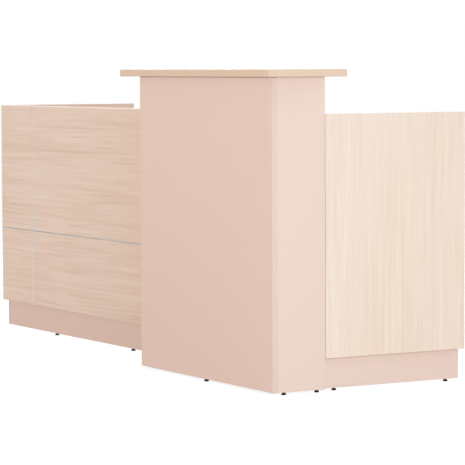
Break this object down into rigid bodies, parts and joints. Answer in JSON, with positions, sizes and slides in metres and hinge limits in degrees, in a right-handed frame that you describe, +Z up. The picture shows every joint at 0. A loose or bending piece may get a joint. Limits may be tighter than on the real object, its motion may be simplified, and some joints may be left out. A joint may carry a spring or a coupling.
{
  "type": "reception desk",
  "caption": "Straight reception desk: low wood-clad front with metal inlay lines on a recessed plinth, tall pink column with a standing counter, worktop behind, screw-in levelling feet.",
  "frame": {"origin": "on the floor under the middle of the overall outline", "axes": "+Z up, +X along the front towards the column, +Y from the visitor side to the staff side"},
  "size_m": [2.66, 0.895, 1.1],
  "materials": {
    "pink_board": "blush pink melamine on chipboard, satin",
    "wood_board": "light elm melamine on chipboard, satin",
    "aluminium": "brushed",
    "steel": "zinc plated",
    "black_plastic": "moulded, fine grain"
  },
  "bodies": {
    "desk": {"front_base_panel": "pink_board", "left_leg_panel": "pink_board", "right_leg_panel": "pink_board", "middle_support_panel": "pink_board", "worktop_cleat_left": "pink_board", "worktop_cleat_right": "pink_board", "column_front_panel": "pink_board", "column_left_panel": "pink_board", "column_right_panel": "pink_board", "column_back_panel": "pink_board", "column_top_board": "pink_board", "column_bottom_board": "pink_board", "front_panel": "wood_board", "left_end_panel": "wood_board", "right_side_panel": "wood_board", "worktop": "wood_board", "counter_top": "wood_board", "inlay_strip_level": "aluminium", "inlay_strip_upper": "aluminium", "inlay_strip_lower": "aluminium", "worktop_bracket_left_1": "steel", "worktop_bracket_left_2": "steel", "worktop_bracket_right_1": "steel", "worktop_bracket_right_2": "steel", "cable_grommet_ring": "black_plastic"},
    "grommet_cap": {"cable_grommet_cap": "black_plastic"},
    "foot_column_front_pad": {"foot_column_front_pad": "black_plastic"},
    "foot_column_front_stud": {"foot_column_front_stud": "steel"},
    "foot_column_left_front_pad": {"foot_column_left_front_pad": "black_plastic"},
    "foot_column_left_front_stud": {"foot_column_left_front_stud": "steel"},
    "foot_column_left_rear_pad": {"foot_column_left_rear_pad": "black_plastic"},
    "foot_column_left_rear_stud": {"foot_column_left_rear_stud": "steel"},
    "foot_column_right_front_pad": {"foot_column_right_front_pad": "black_plastic"},
    "foot_column_right_front_stud": {"foot_column_right_front_stud": "steel"},
    "foot_column_right_rear_pad": {"foot_column_right_rear_pad": "black_plastic"},
    "foot_column_right_rear_stud": {"foot_column_right_rear_stud": "steel"},
    "foot_left_front_pad": {"foot_left_front_pad": "black_plastic"},
    "foot_left_front_stud": {"foot_left_front_stud": "steel"},
    "foot_left_rear_pad": {"foot_left_rear_pad": "black_plastic"},
    "foot_left_rear_stud": {"foot_left_rear_stud": "steel"},
    "foot_right_front_pad": {"foot_right_front_pad": "black_plastic"},
    "foot_right_front_stud": {"foot_right_front_stud": "steel"},
    "foot_right_rear_pad": {"foot_right_rear_pad": "black_plastic"},
    "foot_right_rear_stud": {"foot_right_rear_stud": "steel"},
    "foot_middle_pad": {"foot_middle_pad": "black_plastic"},
    "foot_middle_stud": {"foot_middle_stud": "steel"},
    "foot_front_1_pad": {"foot_front_1_pad": "black_plastic"},
    "foot_front_1_stud": {"foot_front_1_stud": "steel"},
    "foot_front_2_pad": {"foot_front_2_pad": "black_plastic"},
    "foot_front_2_stud": {"foot_front_2_stud": "steel"},
    "foot_front_3_pad": {"foot_front_3_pad": "black_plastic"},
    "foot_front_3_stud": {"foot_front_3_stud": "steel"}
  },
  "joints": [
    {"name": "grommet_cap_turn", "type": "hinge", "parent": "desk", "child": "grommet_cap", "pos_m": [-0.4864, -0.0793, 0.745], "axis": [0, 0, 1], "continuous": true},
    {"name": "foot_column_front_height", "type": "slide", "parent": "desk", "child": "foot_column_front_pad", "axis": [0, 0, -1], "range_m": [0, 0.01]},
    {"name": "foot_column_front_turn", "type": "hinge", "parent": "foot_column_front_pad", "child": "foot_column_front_stud", "pos_m": [0.8, -0.3885, 0.004], "axis": [0, 0, -1], "range_deg": [0, 3600]},
    {"name": "foot_column_left_front_height", "type": "slide", "parent": "desk", "child": "foot_column_left_front_pad", "axis": [0, 0, -1], "range_m": [0, 0.01]},
    {"name": "foot_column_left_front_turn", "type": "hinge", "parent": "foot_column_left_front_pad", "child": "foot_column_left_front_stud", "pos_m": [0.339, -0.3493, 0.004], "axis": [0, 0, -1], "range_deg": [0, 3600]},
    {"name": "foot_column_left_rear_height", "type": "slide", "parent": "desk", "child": "foot_column_left_rear_pad", "axis": [0, 0, -1], "range_m": [0, 0.01]},
    {"name": "foot_column_left_rear_turn", "type": "hinge", "parent": "foot_column_left_rear_pad", "child": "foot_column_left_rear_stud", "pos_m": [0.339, -0.218, 0.004], "axis": [0, 0, -1], "range_deg": [0, 3600]},
    {"name": "foot_column_right_front_height", "type": "slide", "parent": "desk", "child": "foot_column_right_front_pad", "axis": [0, 0, -1], "range_m": [0, 0.01]},
    {"name": "foot_column_right_front_turn", "type": "hinge", "parent": "foot_column_right_front_pad", "child": "foot_column_right_front_stud", "pos_m": [1.261, -0.3493, 0.004], "axis": [0, 0, -1], "range_deg": [0, 3600]},
    {"name": "foot_column_right_rear_height", "type": "slide", "parent": "desk", "child": "foot_column_right_rear_pad", "axis": [0, 0, -1], "range_m": [0, 0.01]},
    {"name": "foot_column_right_rear_turn", "type": "hinge", "parent": "foot_column_right_rear_pad", "child": "foot_column_right_rear_stud", "pos_m": [1.261, -0.218, 0.004], "axis": [0, 0, -1], "range_deg": [0, 3600]},
    {"name": "foot_left_front_height", "type": "slide", "parent": "desk", "child": "foot_left_front_pad", "axis": [0, 0, -1], "range_m": [0, 0.01]},
    {"name": "foot_left_front_turn", "type": "hinge", "parent": "foot_left_front_pad", "child": "foot_left_front_stud", "pos_m": [-1.3028, -0.1193, 0.004], "axis": [0, 0, -1], "range_deg": [0, 3600]},
    {"name": "foot_left_rear_height", "type": "slide", "parent": "desk", "child": "foot_left_rear_pad", "axis": [0, 0, -1], "range_m": [0, 0.01]},
    {"name": "foot_left_rear_turn", "type": "hinge", "parent": "foot_left_rear_pad", "child": "foot_left_rear_stud", "pos_m": [-1.3028, 0.3825, 0.004], "axis": [0, 0, -1], "range_deg": [0, 3600]},
    {"name": "foot_right_front_height", "type": "slide", "parent": "desk", "child": "foot_right_front_pad", "axis": [0, 0, -1], "range_m": [0, 0.01]},
    {"name": "foot_right_front_turn", "type": "hinge", "parent": "foot_right_front_pad", "child": "foot_right_front_stud", "pos_m": [1.2428, -0.1375, 0.004], "axis": [0, 0, -1], "range_deg": [0, 3600]},
    {"name": "foot_right_rear_height", "type": "slide", "parent": "desk", "child": "foot_right_rear_pad", "axis": [0, 0, -1], "range_m": [0, 0.01]},
    {"name": "foot_right_rear_turn", "type": "hinge", "parent": "foot_right_rear_pad", "child": "foot_right_rear_stud", "pos_m": [1.2428, 0.3275, 0.004], "axis": [0, 0, -1], "range_deg": [0, 3600]},
    {"name": "foot_middle_height", "type": "slide", "parent": "desk", "child": "foot_middle_pad", "axis": [0, 0, -1], "range_m": [0, 0.01]},
    {"name": "foot_middle_turn", "type": "hinge", "parent": "foot_middle_pad", "child": "foot_middle_stud", "pos_m": [0.33, 0.1989, 0.004], "axis": [0, 0, -1], "range_deg": [0, 3600]},
    {"name": "foot_front_1_height", "type": "slide", "parent": "desk", "child": "foot_front_1_pad", "axis": [0, 0, -1], "range_m": [0, 0.01]},
    {"name": "foot_front_1_turn", "type": "hinge", "parent": "foot_front_1_pad", "child": "foot_front_1_stud", "pos_m": [-0.8588, -0.1603, 0.004], "axis": [0, 0, -1], "range_deg": [0, 3600]},
    {"name": "foot_front_2_height", "type": "slide", "parent": "desk", "child": "foot_front_2_pad", "axis": [0, 0, -1], "range_m": [0, 0.01]},
    {"name": "foot_front_2_turn", "type": "hinge", "parent": "foot_front_2_pad", "child": "foot_front_2_stud", "pos_m": [-0.1838, -0.1603, 0.004], "axis": [0, 0, -1], "range_deg": [0, 3600]},
    {"name": "foot_front_3_height", "type": "slide", "parent": "desk", "child": "foot_front_3_pad", "axis": [0, 0, -1], "range_m": [0, 0.01]},
    {"name": "foot_front_3_turn", "type": "hinge", "parent": "foot_front_3_pad", "child": "foot_front_3_stud", "pos_m": [0.4912, -0.1603, 0.004], "axis": [0, 0, -1], "range_deg": [0, 3600]}
  ],
  "couplings": [
    {"joint": "foot_column_front_turn", "follows": "foot_column_front_height", "rad_per_m": 6283.2},
    {"joint": "foot_column_left_front_turn", "follows": "foot_column_left_front_height", "rad_per_m": 6283.2},
    {"joint": "foot_column_left_rear_turn", "follows": "foot_column_left_rear_height", "rad_per_m": 6283.2},
    {"joint": "foot_column_right_front_turn", "follows": "foot_column_right_front_height", "rad_per_m": 6283.2},
    {"joint": "foot_column_right_rear_turn", "follows": "foot_column_right_rear_height", "rad_per_m": 6283.2},
    {"joint": "foot_left_front_turn", "follows": "foot_left_front_height", "rad_per_m": 6283.2},
    {"joint": "foot_left_rear_turn", "follows": "foot_left_rear_height", "rad_per_m": 6283.2},
    {"joint": "foot_right_front_turn", "follows": "foot_right_front_height", "rad_per_m": 6283.2},
    {"joint": "foot_right_rear_turn", "follows": "foot_right_rear_height", "rad_per_m": 6283.2},
    {"joint": "foot_middle_turn", "follows": "foot_middle_height", "rad_per_m": 6283.2},
    {"joint": "foot_front_1_turn", "follows": "foot_front_1_height", "rad_per_m": 6283.2},
    {"joint": "foot_front_2_turn", "follows": "foot_front_2_height", "rad_per_m": 6283.2},
    {"joint": "foot_front_3_turn", "follows": "foot_front_3_height", "rad_per_m": 6283.2}
  ]
}
